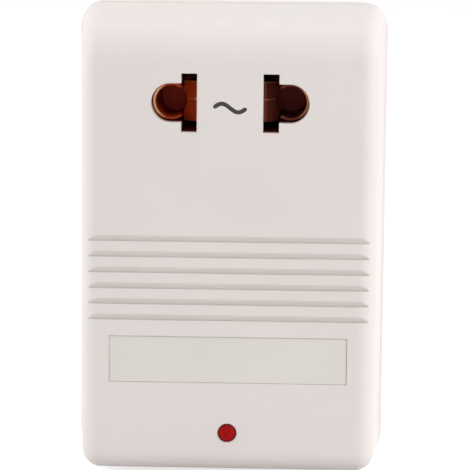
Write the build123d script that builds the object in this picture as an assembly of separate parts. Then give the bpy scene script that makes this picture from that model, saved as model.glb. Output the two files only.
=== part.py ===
from build123d import *
import os
from math import radians, tan

# Two-way travel voltage converter: a moulded two-part housing round a small mains transformer,
# with two combined flat-and-round socket openings in front and two fixed flat blades behind.
# Millimetres. X is the width, +Z is up and the front faces -Y. The origin is on the resting
# face, below the middle of the housing's width and depth.

# General fits
overrun = 1.0
touch_gap = 0.1
slide_gap = 0.15
free_gap = 0.3

# Transformer core: scrapless E and I laminations
core_width = 41.0
core_stack = 20.0
leg_share = 1 / 6
window_height_share = 1 / 2

# Winding former and coil
coil_build = 6.4
coil_leg_gap = 0.4
bobbin_wall = 1.0
bobbin_core_gap = 0.25
winding_inset = 0.8
tape_thickness = 0.3
coil_corner_cut = 1.6
pin_width = 0.9
pin_gap = 0.05
pin_length = 3.4
inner_pin_share = 0.343
lamp_pin_x = 3.0

# Clamping bracket round the core
bracket_sheet = 0.8
bracket_foot = 13.0
tab_width = 4.6
tab_length = 4.4

# Room round the transformer sets the housing
core_side_gap = 1.7
fuse_room = 3.6
coil_back_gap = 1.4

# Moulded housing
front_wall = 2.0
rear_wall = 2.2
front_shell_depth = 18.0
rim_step = 0.4
rim_chamfer = 0.3
rear_corner_radius = 4.2
front_corner_radius = 3.1
front_top_radius = 7.0
front_side_degrees = 5.0
front_top_degrees = 9.0
front_bottom_degrees = 2.0
rear_side_degrees = 1.0
rear_top_degrees = 1.0
lip_height = 1.5
lip_thickness = 0.9

# Heights of the main features, from the bottom up
lamp_z = 7.3
board_height = 6.8
board_core_gap = 0.8
socket_rise = 13.45
top_margin = 15.6

# Socket openings in the front face
round_pitch = 19.0
blade_pitch = 12.7
slot_width = 2.5
slot_height = 9.2
slot_outset = 0.1
round_opening_radius = 3.05
round_opening_inset = 0.1

# Finger grooves across the front face
groove_count = 6
groove_drop = 21.5
groove_pitch = 2.52
groove_height = 0.95
groove_depth = 0.7

# Recess for the blank label
label_width = 37.8
label_height = 7.4
label_drop = 40.85
label_recess = 0.35
label_thickness = 0.2
label_gap = 0.05

# Bronze socket contacts
round_pin_radius = 2.4
sleeve_clearance = 0.03
contact_sheet = 0.5
contact_recess = 4.6
contact_pocket_depth = 14.5
sleeve_gap_degrees = 110.0
flare_length = 0.9
flare_step = 0.12
leaf_recess = 4.7
leaf_height = 6.4
leaf_lean = 2.05
leaf_lead_length = 2.6
leaf_rib_height = 0.3
leaf_rib_proud = 0.25
leaf_rib_rise = 0.36
pin_relief = 0.05
solder_tag_width = 2.8
solder_tag_length = 5.5
solder_tag_drop = 2.2
solder_tag_inset = 1.0

# Moulded block that carries the contacts
carrier_wall = 1.9
ear_height = 6.0
ear_thickness = 2.0
carrier_ear_depth = 10.0

# Fixed flat blades
blade_thickness = 1.5
blade_width = 6.35
blade_reach = 17.0
blade_tip_radius = 1.6
blade_tip_chamfer = 0.4
blade_hole_radius = 1.6
blade_hole_reach = 11.7
blade_shoulder_width = 10.0
blade_shoulder_depth = 1.7
blade_tag_width = 3.0
blade_tag_length = 2.2
blade_slot_gap = 0.05

# Plate that clamps the blades to the back wall
blade_plate_width = 21.0
blade_plate_height = 16.0
blade_plate_thickness = 3.9
blade_plate_radius = 1.5

# Screws and the bosses that take them
screw_radius = 1.25
screw_head_radius = 2.4
screw_head_height = 1.8
screw_bore_gap = 0.05
screw_length = 13.0
screw_web = 2.5
screw_recess_width = 0.6
screw_recess_depth = 0.7
shank_sides = 8
small_screw_radius = 0.9
small_head_radius = 1.7
small_head_height = 1.1
small_screw_length = 6.0
boss_wall = 1.7
post_wall = 1.3
counterbore_gap = 0.2
tube_wall = 0.9
screw_side_inset = 7.0
screw_top_inset = 7.8
screw_bottom_inset = 6.8

# Ribs that steady the core
rib_thickness = 1.5
rib_end_inset = 3.0

# Voltage switch in the side wall
selector_travel = 4.5
knob_length = 4.2
knob_width = 4.1
knob_edge_chamfer = 0.35
knob_grip_depth = 0.35
knob_grip_count = 3
knob_flange_margin = 0.8
knob_flange_thickness = 2.0
scoop_depth = 0.8
scoop_margin = 3.4
scoop_radius = 2.0
knob_proud = 0.4
switch_y = 9.0
switch_depth = 7.5
switch_wall = 1.4
switch_floor = 3.3
switch_side_gap = 0.5
frame_sheet = 0.5
frame_ear = 1.0
terminal_pitch = 4.0
terminal_row_offset = 2.4
terminal_width = 1.4
terminal_sheet = 0.6
terminal_head_width = 1.8
terminal_head_height = 0.7
terminal_length = 2.4
bridge_sheet = 0.5
bridge_width = 1.4
bridge_length = 5.2
switch_rib = 1.45
switch_rib_length = 7.0

# Pilot lamp and its board
lamp_radius = 1.45
lamp_hole_gap = 0.05
lamp_dome_radius = 2.2
lamp_dome_shares = (1.0, 0.75, 0.4)
lamp_proud = 0.5
lamp_body_length = 5.0
lamp_flange_radius = 1.9
lamp_flange_thickness = 1.0
lead_width = 0.5
lead_gap = 0.05
lead_pitch = 2.54
lead_length = 0.9
board_width = 28.0
board_thickness = 1.2
board_screw_x = 11.0
board_screw_length = 4.2
resistor_radius = 0.9
resistor_length = 3.2
diode_radius = 1.0
diode_length = 2.8
component_x = 6.4
component_lead = 0.7

# Thermal cut-out on the coil
fuse_radius = 1.4
fuse_length = 9.0
fuse_lead_length = 3.5

# Hook-up wires
wire_radius = 0.7
wire_gap = 0.7
wire_bend = 1.3
wire_bend_share = 0.4
wire_sides = 6
wire_lane = 2.5
wire_drop = 8.0

# Places worked out from the sizes above
leg_width = core_width * leg_share
window_height = core_width * window_height_share
tongue_width = 2 * leg_width
core_height = window_height + 2 * leg_width
half_width = core_width / 2 + bracket_sheet + core_side_gap + rear_wall
housing_depth = front_wall + fuse_room + 2 * coil_build + core_stack + coil_back_gap + rear_wall
front_y = -housing_depth / 2
back_y = housing_depth / 2
front_inner_y = front_y + front_wall
back_inner_y = back_y - rear_wall
parting_y = front_y + front_shell_depth
core_front_y = front_inner_y + fuse_room + coil_build
core_back_y = core_front_y + core_stack
core_mid_y = (core_front_y + core_back_y) / 2
tab_x = core_width / 2 + bracket_sheet - bracket_foot + tab_width / 2
core_base_z = lamp_z + board_height / 2 + board_core_gap
core_top_z = core_base_z + core_height
socket_z = core_top_z + bracket_sheet + socket_rise
housing_height = socket_z + top_margin
front_half_width = half_width - rim_step
front_bottom_z = rim_step
front_top_z = housing_height - rim_step
screw_x = half_width - screw_side_inset
top_screw_z = housing_height - screw_top_inset
bottom_screw_z = screw_bottom_inset
screw_places = [(x, z) for x in (-screw_x, screw_x) for z in (bottom_screw_z, top_screw_z)]
post_radius = small_screw_radius + post_wall
outer_pin_x = tab_x - post_radius - wire_gap - wire_radius
inner_pin_x = outer_pin_x * inner_pin_share
round_x = round_pitch / 2
blade_x = blade_pitch / 2
slot_x = blade_x + slot_outset
round_opening_x = round_x - round_opening_inset


def box_between(low, high):
    """Box from its lowest to its highest corner."""
    size = [b - a for a, b in zip(low, high)]
    middle = [(a + b) / 2 for a, b in zip(low, high)]
    return Pos(*middle) * Box(*size)


def extrude_x(sketch, start, end):
    """Sketch drawn in Y and Z, carried along X."""
    return extrude(Plane.YZ.offset(start) * sketch, amount=end - start)


def extrude_y(sketch, start, end):
    """Sketch drawn in X and Z, carried along Y."""
    return extrude(Plane.XZ.offset(-end) * sketch, amount=end - start)


def extrude_z(sketch, start, end):
    """Sketch drawn in X and Y, carried along Z."""
    return extrude(Plane.XY.offset(start) * sketch, amount=end - start)


def rod_x(radius, start, end, y, z):
    """Round bar along X."""
    return extrude_x(Pos(y, z) * Circle(radius), start, end)


def rod_y(radius, start, end, x, z):
    """Round bar along Y."""
    return extrude_y(Pos(x, z) * Circle(radius), start, end)


def bore_y(radius, start, end, x, z):
    """Plain screw shank or pilot hole along Y, without its thread."""
    return extrude_y(Pos(x, z) * RegularPolygon(radius, shank_sides), start, end)


def post_y(half_size, start, end, x, z):
    """Square moulded post along Y for a screw."""
    return extrude_y(Pos(x, z) * Rectangle(2 * half_size, 2 * half_size), start, end)


def both_sides(shape):
    """Shape and its mirror image across the middle of the width."""
    return [shape, mirror(shape, about=Plane.YZ)]


def moulded_block(open_y, closed_y, block_half_width, bottom_z, top_z, degrees, edge_radius, top_radius):
    """Block that narrows from its open plane to its closed end, with rounded edges.

    degrees are the drafts of the sides, the top and the bottom. A radius of 0 leaves edges sharp.
    """
    side_in, top_in, bottom_in = (abs(closed_y - open_y) * tan(radians(angle)) for angle in degrees)
    corners = [(open_y, bottom_z), (closed_y, bottom_z + bottom_in),
               (closed_y, top_z - top_in), (open_y, top_z)]
    profile = make_face(Polyline(*corners, close=True))
    if top_radius > 0:
        profile = fillet(profile.vertices().sort_by_distance((*corners[2], 0))[0], top_radius)
    plan_half = [(block_half_width, open_y), (block_half_width - side_in, closed_y)]
    plan = make_face(Polyline(*plan_half, *[(-x, y) for x, y in reversed(plan_half)], close=True))
    block = extrude_x(profile, -block_half_width, block_half_width) & extrude_z(plan, bottom_z, top_z)
    if edge_radius == 0:
        return block
    sides = [block.faces().sort_by(Axis.X)[end] for end in (0, -1)]
    rounded = {edge for side in sides for edge in side.edges()}
    across = block.edges().filter_by(Axis.X).sort_by(Axis.Z)
    rounded |= set(across[:2] if top_radius > 0 else across)
    return fillet([edge for edge in rounded if abs(edge.center().Y - open_y) > touch_gap], edge_radius)


def front_block(inset):
    """Outer form of the front shell or, drawn in by an inset, its hollow with sharp edges."""
    edge_radius = 0 if inset > 0 else front_corner_radius
    degrees = (front_side_degrees, front_top_degrees, front_bottom_degrees)
    return moulded_block(parting_y, front_y + inset, front_half_width - inset, front_bottom_z + inset,
                         front_top_z - inset, degrees, edge_radius, front_top_radius - inset)


def rear_block(inset):
    """Outer form of the rear shell or, drawn in by an inset, its hollow with sharp edges."""
    edge_radius = 0 if inset > 0 else rear_corner_radius
    degrees = (rear_side_degrees, rear_top_degrees, 0)
    return moulded_block(parting_y, back_y - inset, half_width - inset, inset,
                         housing_height - inset, degrees, edge_radius, 0)


def rim_outline(inset):
    """Outline of the front shell at the parting plane, drawn in by an inset."""
    width = 2 * (front_half_width - inset)
    height = front_top_z - front_bottom_z - 2 * inset
    outline = RectangleRounded(width, height, front_corner_radius - inset)
    return Pos(0, (front_top_z + front_bottom_z) / 2) * outline


def socket_outline(margin):
    """Flat slot and round opening of the right-hand socket, joined, with a margin all round."""
    radius = round_opening_radius + margin
    slot = Pos(slot_x, socket_z) * Rectangle(slot_width + 2 * margin, slot_height + 2 * margin)
    neck = Pos((slot_x + round_opening_x) / 2, socket_z) * Rectangle(round_opening_x - slot_x, 2 * radius)
    return slot + neck + Pos(round_opening_x, socket_z) * Circle(radius)


def screw(x, z, seat_y, toward, radius, length, head, head_height):
    """Screw along Y with its head outline seated at seat_y and its shank running toward -Y or +Y."""
    ends = sorted((seat_y, seat_y + toward * length))
    head_ends = sorted((seat_y, seat_y - toward * head_height))
    return bore_y(radius, *ends, x, z) + extrude_y(Pos(x, z) * head, *head_ends)


# Front shell
carrier_front_y = front_inner_y + touch_gap
carrier_half_width = round_opening_x + round_opening_radius + touch_gap + carrier_wall
ear_y = front_inner_y + carrier_ear_depth
ear_screw_x = carrier_half_width + touch_gap + post_radius
board_front_y = front_y - lamp_proud + lamp_body_length + lead_length
label_z = socket_z - label_drop
core_leg_x = (core_width - leg_width) / 2


def front_bosses():
    """Screw bosses, posts and core ribs that stand on the inside of the front face."""
    solids = [post_y(screw_radius + boss_wall, front_y, parting_y, x, z) for x, z in screw_places]
    rib = box_between((core_leg_x - rib_thickness / 2, front_y, core_base_z + rib_end_inset),
                      (core_leg_x + rib_thickness / 2, core_front_y - free_gap,
                       core_top_z - rib_end_inset))
    solids += both_sides(rib)
    solids += both_sides(post_y(post_radius, front_y, ear_y, ear_screw_x, socket_z))
    solids += both_sides(post_y(post_radius, front_y, board_front_y, board_screw_x, lamp_z))
    return solids


def front_shell():
    """Front half of the housing, with its openings, grooves, recess and inner lip."""
    outer = front_block(0)
    shell = outer - front_block(front_wall)
    mid_wall = front_block(front_wall / 2)
    shell += [boss & mid_wall for boss in front_bosses()]
    lip = rim_outline(front_wall - lip_thickness) - rim_outline(front_wall)
    shell += extrude_y(lip, parting_y, parting_y + lip_height)
    bore = screw_radius + screw_bore_gap
    small_bore = small_screw_radius + screw_bore_gap
    for x, z in screw_places:
        shell -= bore_y(bore, front_inner_y, parting_y + overrun, x, z)
    for x in (-ear_screw_x, ear_screw_x):
        shell -= bore_y(small_bore, front_inner_y, ear_y + overrun, x, socket_z)
    for x in (-board_screw_x, board_screw_x):
        shell -= bore_y(small_bore, front_inner_y, board_front_y + overrun, x, lamp_z)
    for opening in both_sides(extrude_y(socket_outline(0), front_y - overrun, front_inner_y + overrun)):
        shell -= opening
    for index in range(groove_count):
        shell -= groove(socket_z - groove_drop - index * groove_pitch)
    recess = Pos(0, label_z) * Rectangle(label_width, label_height)
    shell -= extrude_y(recess, front_y - overrun, front_y + label_recess)
    shell -= rod_y(lamp_radius + lamp_hole_gap, front_y - overrun, front_inner_y + overrun, 0, lamp_z)
    return shell


def groove(middle_z):
    """Cutter of one finger groove: a ramp that deepens downwards to a short ledge."""
    top_z = middle_z + groove_height / 2
    bottom_z = middle_z - groove_height / 2
    section = Polyline((front_y - overrun, top_z), (front_y, top_z),
                       (front_y + groove_depth, bottom_z), (front_y - overrun, bottom_z), close=True)
    return extrude_x(make_face(section), -half_width, half_width)


def label_panel():
    """Blank panel seated in the recess."""
    panel = Rectangle(label_width - 2 * label_gap, label_height - 2 * label_gap)
    floor_y = front_y + label_recess
    return extrude_y(Pos(0, label_z) * panel, floor_y - label_thickness, floor_y)


# Voltage switch places
switch_z = socket_z - terminal_pitch
inner_side_x = half_width - rear_wall - (switch_y - parting_y) * tan(radians(rear_side_degrees))
frame_outer_x = inner_side_x - switch_side_gap
switch_face_x = frame_outer_x - frame_sheet
switch_back_x = switch_face_x - switch_depth
window_length = knob_length + selector_travel + 2 * slide_gap
window_width = knob_width + 2 * slide_gap
flange_half_length = knob_length / 2 + knob_flange_margin
flange_half_width = knob_width / 2 + knob_flange_margin
cavity_half_length = flange_half_length + selector_travel / 2 + free_gap
cavity_half_width = terminal_row_offset + terminal_head_width / 2 + free_gap
switch_half_length = cavity_half_length + switch_wall
switch_half_width = cavity_half_width + switch_wall
knob_z = switch_z - selector_travel / 2
frame_half_length = switch_half_length + frame_ear


# Rear shell
head_y = parting_y + screw_web
blade_shoulder_y = back_inner_y - blade_shoulder_depth
blade_plate_y = blade_shoulder_y - blade_plate_thickness
blade_screw_z_offset = blade_plate_height / 2 - small_head_radius - tape_thickness
blade_screw_end_y = blade_plate_y + small_screw_length + touch_gap
tab_places = [(-tab_x, core_top_z + bracket_sheet + tab_length / 2),
              (tab_x, core_base_z - bracket_sheet - tab_length / 2)]


def rear_bosses():
    """Screw tubes, posts and ribs that stand on the inside of the rear shell."""
    tube_half_size = screw_head_radius + counterbore_gap + tube_wall
    solids = [post_y(tube_half_size, parting_y, back_y, x, z) for x, z in screw_places]
    rib = box_between((core_leg_x - rib_thickness / 2, core_back_y + free_gap, core_base_z + rib_end_inset),
                      (core_leg_x + rib_thickness / 2, back_y, core_top_z - rib_end_inset))
    solids += both_sides(rib)
    solids += [post_y(post_radius, core_back_y, back_y, x, z) for x, z in tab_places]
    for z in (socket_z - blade_screw_z_offset, socket_z + blade_screw_z_offset):
        solids.append(post_y(post_radius, blade_shoulder_y, back_y, 0, z))
    return solids + switch_ribs()


def switch_ribs():
    """Two grooved ribs of the side wall that hold the ears of the switch frame."""
    ribs = []
    for side in (-1, 1):
        near_z = switch_z + side * (switch_half_length + slide_gap)
        far_z = near_z + side * switch_rib
        low_z, high_z = sorted((near_z, far_z))
        rib = box_between((inner_side_x - switch_rib_length, switch_y - switch_half_width, low_z),
                          (half_width, switch_y + switch_half_width, high_z))
        ear_z = switch_z + side * (frame_half_length + slide_gap)
        rib -= box_between((switch_face_x - touch_gap, switch_y - switch_half_width - overrun,
                            min(ear_z, switch_z)),
                           (frame_outer_x + touch_gap, switch_y + switch_half_width, max(ear_z, switch_z)))
        ribs.append(rib)
    return ribs


def rear_shell():
    """Rear half of the housing, with blade slots, screw holes and the switch window."""
    outer = rear_block(0)
    outer = chamfer(outer.faces().sort_by(Axis.Y)[0].edges(), rim_chamfer)
    shell = outer - rear_block(rear_wall)
    mid_wall = rear_block(rear_wall / 2)
    shell += [boss & mid_wall for boss in rear_bosses()]
    rabbet = rim_outline(front_wall - lip_thickness - slide_gap)
    hollow = rim_outline(front_wall)
    shell -= extrude_y(rabbet - hollow, parting_y - overrun, parting_y + lip_height + slide_gap)
    for x, z in screw_places:
        shell -= bore_y(screw_radius + touch_gap, parting_y - overrun, back_y, x, z)
        shell -= rod_y(screw_head_radius + counterbore_gap, head_y, back_y + overrun, x, z)
    small_bore = small_screw_radius + screw_bore_gap
    for x, z in tab_places:
        shell -= bore_y(small_bore, core_back_y - overrun, core_back_y + small_screw_length, x, z)
    for z in (socket_z - blade_screw_z_offset, socket_z + blade_screw_z_offset):
        shell -= bore_y(small_bore, blade_shoulder_y - overrun, blade_screw_end_y, 0, z)
    blade_slot = Pos(blade_x, socket_z) * Rectangle(blade_thickness + 2 * blade_slot_gap,
                                                    blade_width + 2 * blade_slot_gap)
    for slot in both_sides(extrude_y(blade_slot, back_inner_y - overrun, back_y + overrun)):
        shell -= slot
    return shell - switch_window()


def switch_window():
    """Cutter of the finger scoop and the window of the selector."""
    floor_x = inner_side_x + rear_wall - scoop_depth
    scoop = RectangleRounded(window_width + scoop_margin, window_length + 2 * scoop_margin, scoop_radius)
    window = Rectangle(window_width, window_length)
    place = Pos(switch_y, switch_z)
    return (extrude_x(place * scoop, floor_x, half_width + overrun)
            + extrude_x(place * window, inner_side_x - overrun, half_width + overrun))


# Socket contacts and the block that carries them
contact_front_y = front_y + contact_recess
contact_base_y = contact_front_y + contact_pocket_depth
sleeve_radius = round_pin_radius + sleeve_clearance
leaf_front_y = front_y + leaf_recess
leaf_x = slot_x - slot_width / 2 - touch_gap


def socket_contact():
    """Right-hand contact: flared sleeve for a round pin, leaf for a flat blade, base and tag."""
    axis_height = contact_base_y - contact_front_y
    wall = Polyline((sleeve_radius, 0), (sleeve_radius, axis_height - flare_length),
                    (sleeve_radius + flare_step, axis_height),
                    (sleeve_radius + contact_sheet, axis_height),
                    (sleeve_radius + contact_sheet, 0), close=True)
    section = Plane.XZ * make_face(wall)
    arc_degrees = 360 - sleeve_gap_degrees
    sleeve = revolve(section, Axis.Z, arc_degrees)
    sleeve = Rot(0, 0, -arc_degrees / 2) * sleeve
    sleeve = Pos(round_x, contact_base_y, socket_z) * Rot(90, 0, 0) * sleeve
    outer_x = round_x + sleeve_radius + contact_sheet
    base = box_between((leaf_x, contact_base_y, socket_z - leaf_height / 2),
                       (outer_x, contact_base_y + contact_sheet, socket_z + leaf_height / 2))
    tag = box_between((round_x - solder_tag_inset - solder_tag_width / 2, contact_base_y,
                       socket_z - solder_tag_drop - contact_sheet / 2),
                      (round_x - solder_tag_inset + solder_tag_width / 2,
                       contact_base_y + solder_tag_length, socket_z - solder_tag_drop + contact_sheet / 2))
    return sleeve + base + contact_leaf() + tag


def contact_leaf():
    """Spring leaf whose ramp leans across the flat slot, notched for the round pin, with a pressed rib."""
    ramp = [(leaf_x, leaf_front_y), (leaf_x + leaf_lean, leaf_front_y + leaf_lead_length)]
    line = [*ramp, (leaf_x, contact_base_y)]
    back = [(x + contact_sheet, y) for x, y in reversed(line)]
    leaf = extrude_z(make_face(Polyline(*line, *back, close=True)),
                     socket_z - leaf_height / 2, socket_z + leaf_height / 2)
    near = [(x + contact_sheet, y) for x, y in ramp]
    proud = [(x + leaf_rib_proud, y) for x, y in reversed(near)]
    rib_z = socket_z + leaf_rib_rise
    leaf += extrude_z(make_face(Polyline(*near, *proud, close=True)),
                      rib_z - leaf_rib_height / 2, rib_z + leaf_rib_height / 2)
    relief = sleeve_radius + pin_relief
    return leaf - rod_y(relief, leaf_front_y - overrun, contact_base_y, round_x, socket_z)


def contact_carrier():
    """Moulded block behind the front face with one pocket for each contact."""
    back_y_carrier = contact_base_y + contact_sheet + touch_gap
    height = slot_height + 2 * carrier_wall
    block = Pos(0, socket_z) * RectangleRounded(2 * carrier_half_width, height, carrier_wall)
    carrier = extrude_y(block, carrier_front_y, back_y_carrier)
    ear = box_between((carrier_half_width - carrier_wall, ear_y, socket_z - ear_height / 2),
                      (ear_screw_x + post_radius, ear_y + ear_thickness, socket_z + ear_height / 2))
    carrier += both_sides(ear)
    pocket = extrude_y(socket_outline(touch_gap), carrier_front_y - overrun, back_y_carrier + overrun)
    seat_half = leaf_height / 2 + touch_gap
    seat = box_between((leaf_x - touch_gap, contact_base_y - touch_gap, socket_z - seat_half),
                       (round_x + sleeve_radius + contact_sheet + touch_gap, back_y_carrier + overrun,
                        socket_z + seat_half))
    for cutter in both_sides(pocket) + both_sides(seat):
        carrier -= cutter
    for x in (-ear_screw_x, ear_screw_x):
        carrier -= bore_y(small_screw_radius + touch_gap, ear_y - overrun, ear_y + ear_thickness + overrun,
                          x, socket_z)
    return carrier


# Flat blades and the plate that clamps them
def plug_blade():
    """Right-hand blade: contact blade outside, shoulder against the back wall, tag inside."""
    tip_y = back_y + blade_reach
    tag_y = blade_plate_y - blade_tag_length
    blade = Pos((blade_shoulder_y + tip_y) / 2, socket_z) * Rectangle(tip_y - blade_shoulder_y, blade_width)
    tips = blade.vertices().group_by(Axis.X)[-1]
    outline = fillet(tips, blade_tip_radius)
    outline += Pos((blade_shoulder_y + back_inner_y) / 2, socket_z) * Rectangle(
        blade_shoulder_depth, blade_shoulder_width)
    outline += Pos((tag_y + blade_shoulder_y) / 2, socket_z) * Rectangle(
        blade_shoulder_y - tag_y, blade_tag_width)
    outline -= Pos(back_y + blade_hole_reach, socket_z) * Circle(blade_hole_radius)
    solid = extrude_x(outline, blade_x - blade_thickness / 2, blade_x + blade_thickness / 2)
    tip_edges = solid.faces().sort_by(Axis.Y)[-1].edges().filter_by(Axis.Z)
    return chamfer(tip_edges, blade_tip_chamfer)


def blade_carrier():
    """Plate with slots for the tags, screwed down on the blades' shoulders."""
    plate = Pos(0, socket_z) * RectangleRounded(blade_plate_width, blade_plate_height, blade_plate_radius)
    slot = Rectangle(blade_thickness + 2 * touch_gap, blade_tag_width + 2 * touch_gap)
    for x in (-blade_x, blade_x):
        plate -= Pos(x, socket_z) * slot
    for z in (socket_z - blade_screw_z_offset, socket_z + blade_screw_z_offset):
        plate -= Pos(0, z) * RegularPolygon(small_screw_radius + touch_gap, shank_sides)
    return extrude_y(plate, blade_plate_y, blade_shoulder_y)


# Transformer
window_top_z = core_top_z - leg_width
window_bottom_z = core_base_z + leg_width
bobbin_bottom_z = window_bottom_z + touch_gap
bobbin_top_z = window_top_z - touch_gap
flange_half_x = core_width / 2 - leg_width - coil_leg_gap
flange_half_y = core_stack / 2 + coil_build
middle_z = (bobbin_bottom_z + bobbin_top_z) / 2
pin_y = core_back_y + coil_build / 2
lamp_pin_y = core_front_y - coil_build / 2
pin_top_z = bobbin_top_z + pin_length
lamp_pin_bottom_z = bobbin_bottom_z - pin_length
top_pin_x = (-outer_pin_x, -inner_pin_x, inner_pin_x, outer_pin_x)
corner_growth_share = 2 - 2**0.5


def core_e_stack():
    """Stack of E laminations, open upwards."""
    plate = Pos(0, (core_base_z + window_top_z) / 2) * Rectangle(core_width, window_top_z - core_base_z)
    window_x = (tongue_width + leg_width) / 2
    for x in (-window_x, window_x):
        plate -= Pos(x, (window_bottom_z + window_top_z) / 2) * Rectangle(leg_width, window_height)
    return extrude_y(plate, core_front_y, core_back_y)


def core_i_stack():
    """Stack of I laminations that closes the core."""
    plate = Pos(0, core_top_z - leg_width / 2) * Rectangle(core_width, leg_width)
    return extrude_y(plate, core_front_y, core_back_y)


def coil_outline(outset):
    """Outline of the coil in X and Y with its corners cut off, at an outset from the flange's edge."""
    outline = Rectangle(2 * (flange_half_x + outset), 2 * (flange_half_y + outset))
    corner = coil_corner_cut + (outset + winding_inset) * corner_growth_share
    return Pos(0, core_mid_y) * chamfer(outline.vertices(), corner)


def tongue_outline(gap):
    """Section of the core's tongue with a gap all round."""
    return Pos(0, core_mid_y) * Rectangle(tongue_width + 2 * gap, core_stack + 2 * gap)


def bobbin():
    """Two-chamber winding former with holes for its pins."""
    flange = Pos(0, core_mid_y) * Rectangle(2 * flange_half_x, 2 * flange_half_y)
    former = extrude_z(tongue_outline(bobbin_core_gap + bobbin_wall), bobbin_bottom_z, bobbin_top_z)
    for low_z in (bobbin_bottom_z, middle_z - bobbin_wall / 2, bobbin_top_z - bobbin_wall):
        former += extrude_z(flange, low_z, low_z + bobbin_wall)
    former -= extrude_z(tongue_outline(bobbin_core_gap), bobbin_bottom_z - overrun, bobbin_top_z + overrun)
    hole = Rectangle(pin_width + 2 * pin_gap, pin_width + 2 * pin_gap)
    for x in top_pin_x:
        former -= extrude_z(Pos(x, pin_y) * hole, bobbin_top_z - bobbin_wall, bobbin_top_z + overrun)
    low_flange_z = bobbin_bottom_z + bobbin_wall
    for x in (-lamp_pin_x, lamp_pin_x):
        former -= extrude_z(Pos(x, lamp_pin_y) * hole, bobbin_bottom_z - overrun, low_flange_z)
    return former


def bobbin_pins():
    """Four square pins up for the mains wires and two down for the lamp."""
    pin = Rectangle(pin_width, pin_width)
    pins = [extrude_z(Pos(x, pin_y) * pin, bobbin_top_z - bobbin_wall, pin_top_z) for x in top_pin_x]
    pins += [extrude_z(Pos(x, lamp_pin_y) * pin, lamp_pin_bottom_z, bobbin_bottom_z + bobbin_wall)
             for x in (-lamp_pin_x, lamp_pin_x)]
    return pins


chambers = [(bobbin_bottom_z + bobbin_wall, middle_z - bobbin_wall / 2),
            (middle_z + bobbin_wall / 2, bobbin_top_z - bobbin_wall)]


def winding(chamber):
    """Closed block of wire in one chamber."""
    ring = coil_outline(-winding_inset) - tongue_outline(bobbin_core_gap + bobbin_wall)
    return extrude_z(ring, *chamber)


def winding_tape():
    """Insulating wrap round each chamber."""
    wrap = coil_outline(tape_thickness - winding_inset) - coil_outline(-winding_inset)
    return [extrude_z(wrap, *chamber) for chamber in chambers]


def core_bracket():
    """Sheet frame round the core with two screw tabs at opposite corners behind it."""
    outer_width = core_width + 2 * bracket_sheet
    outer_height = core_height + 2 * bracket_sheet
    middle = Pos(0, (core_base_z + core_top_z) / 2)
    strap = middle * Rectangle(outer_width, outer_height) - middle * Rectangle(core_width, core_height)
    strap -= Pos(0, core_base_z) * Rectangle(outer_width - 2 * bracket_foot, core_height)
    bracket = extrude_y(strap, core_front_y, core_back_y)
    for side, (x, z) in zip((-1, 1), tab_places):
        tab = Pos(x, z + side * bracket_sheet / 2) * Rectangle(tab_width, tab_length + bracket_sheet)
        hole = Pos(x, z) * Circle(small_screw_radius + touch_gap)
        bracket += extrude_y(tab - hole, core_back_y - bracket_sheet, core_back_y)
    return bracket


def thermal_fuse():
    """Round cut-out with its two leads, against the front of the upper coil."""
    y = core_front_y - coil_build + winding_inset - tape_thickness - fuse_radius - touch_gap
    z = sum(chambers[1]) / 2
    body = rod_x(fuse_radius, -fuse_length / 2, fuse_length / 2, y, z)
    end = fuse_length / 2 + fuse_lead_length
    return body + extrude_x(Pos(y, z) * Rectangle(lead_width, lead_width), -end, end)


# Voltage switch
def switch_body():
    """Moulded body, open to the side wall, with holes for six terminals."""
    body = Pos(switch_y, switch_z) * Rectangle(2 * switch_half_width, 2 * switch_half_length)
    cavity = Pos(switch_y, switch_z) * Rectangle(2 * cavity_half_width, 2 * cavity_half_length)
    solid = extrude_x(body, switch_back_x, switch_face_x)
    solid -= extrude_x(cavity, switch_back_x + switch_floor, switch_face_x + overrun)
    slot = Rectangle(terminal_sheet + 2 * screw_bore_gap, terminal_width + 2 * screw_bore_gap)
    for place in terminal_places():
        solid -= extrude_x(Pos(*place) * slot, switch_back_x - overrun, switch_face_x)
    return solid


def terminal_places():
    """Places of the terminals in Y and Z, two rows of three."""
    return [(switch_y + row * terminal_row_offset, switch_z + place * terminal_pitch)
            for row in (-1, 1) for place in (-1, 0, 1)]


def switch_frame():
    """Steel plate that closes the body, with a window for the knob."""
    plate = Rectangle(2 * switch_half_width, 2 * frame_half_length) - Rectangle(window_width, window_length)
    return extrude_x(Pos(switch_y, switch_z) * plate, switch_face_x, frame_outer_x)


def switch_terminals():
    """Six flat terminals, each with a wider head on the floor of the cavity."""
    floor_x = switch_back_x + switch_floor
    tag = Rectangle(terminal_sheet, terminal_width)
    head = Rectangle(terminal_head_width, terminal_head_width)
    return [extrude_x(Pos(*place) * tag, switch_back_x - terminal_length, floor_x)
            + extrude_x(Pos(*place) * head, floor_x, floor_x + terminal_head_height)
            for place in terminal_places()]


bridge_x = switch_back_x + switch_floor + terminal_head_height + free_gap
flange_x = bridge_x + bridge_sheet


def selector_knob():
    """Sliding knob at its lower stop, with grip grooves on top and a flange inside the body."""
    top_x = inner_side_x + rear_wall - scoop_depth + knob_proud
    place = Pos(switch_y, knob_z)
    flange = extrude_x(place * Rectangle(2 * flange_half_width, 2 * flange_half_length),
                       flange_x, flange_x + knob_flange_thickness)
    stem = extrude_x(place * Rectangle(knob_width, knob_length), flange_x, top_x)
    stem = chamfer(stem.faces().sort_by(Axis.X)[-1].edges(), knob_edge_chamfer)
    pitch = knob_length / (knob_grip_count + 1)
    for index in range(knob_grip_count):
        z = knob_z + (index - (knob_grip_count - 1) / 2) * pitch
        stem -= box_between((top_x - knob_grip_depth, switch_y - knob_width, z - knob_grip_depth / 2),
                            (top_x + overrun, switch_y + knob_width, z + knob_grip_depth / 2))
    return stem + flange


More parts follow.
